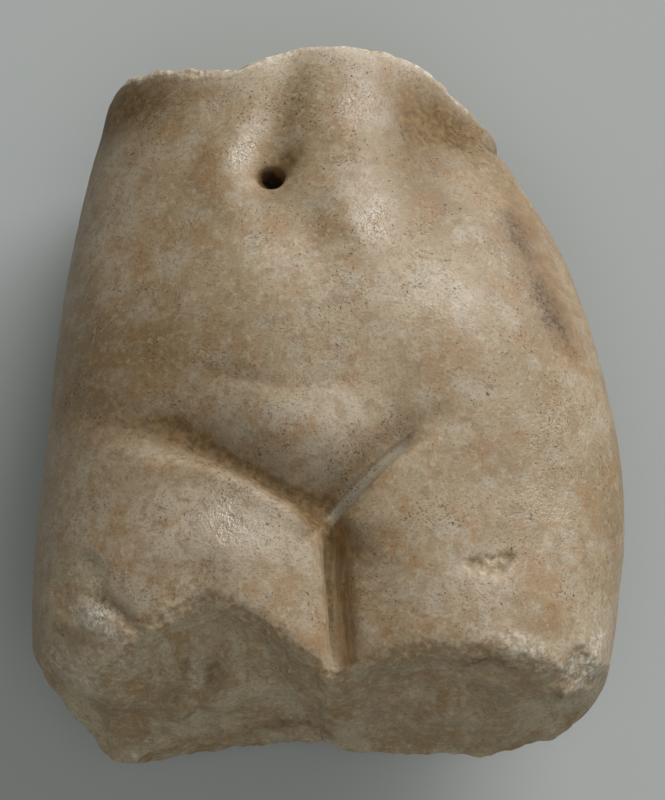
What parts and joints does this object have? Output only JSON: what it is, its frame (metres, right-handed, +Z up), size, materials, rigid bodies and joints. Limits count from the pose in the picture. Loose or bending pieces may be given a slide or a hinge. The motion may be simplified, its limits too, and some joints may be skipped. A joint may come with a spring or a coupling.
{
  "type": "female figure fragment",
  "caption": "Marble fragment of a nude female figure from the waist to the upper thighs, legs closed, broken at both ends, lying on its back.",
  "frame": {"origin": "middle of the bounding box, on the surface the stone lies on", "axes": "+X across, towards the figure's left hip; +Y along the body, towards the waist; +Z up, out of the belly"},
  "size_m": [0.0972, 0.1178, 0.0665],
  "materials": {
    "marble": "worn polish with brown patina, dull on the breaks"
  },
  "bodies": {
    "root": {"figure_fragment": "marble"}
  },
  "joints": []
}
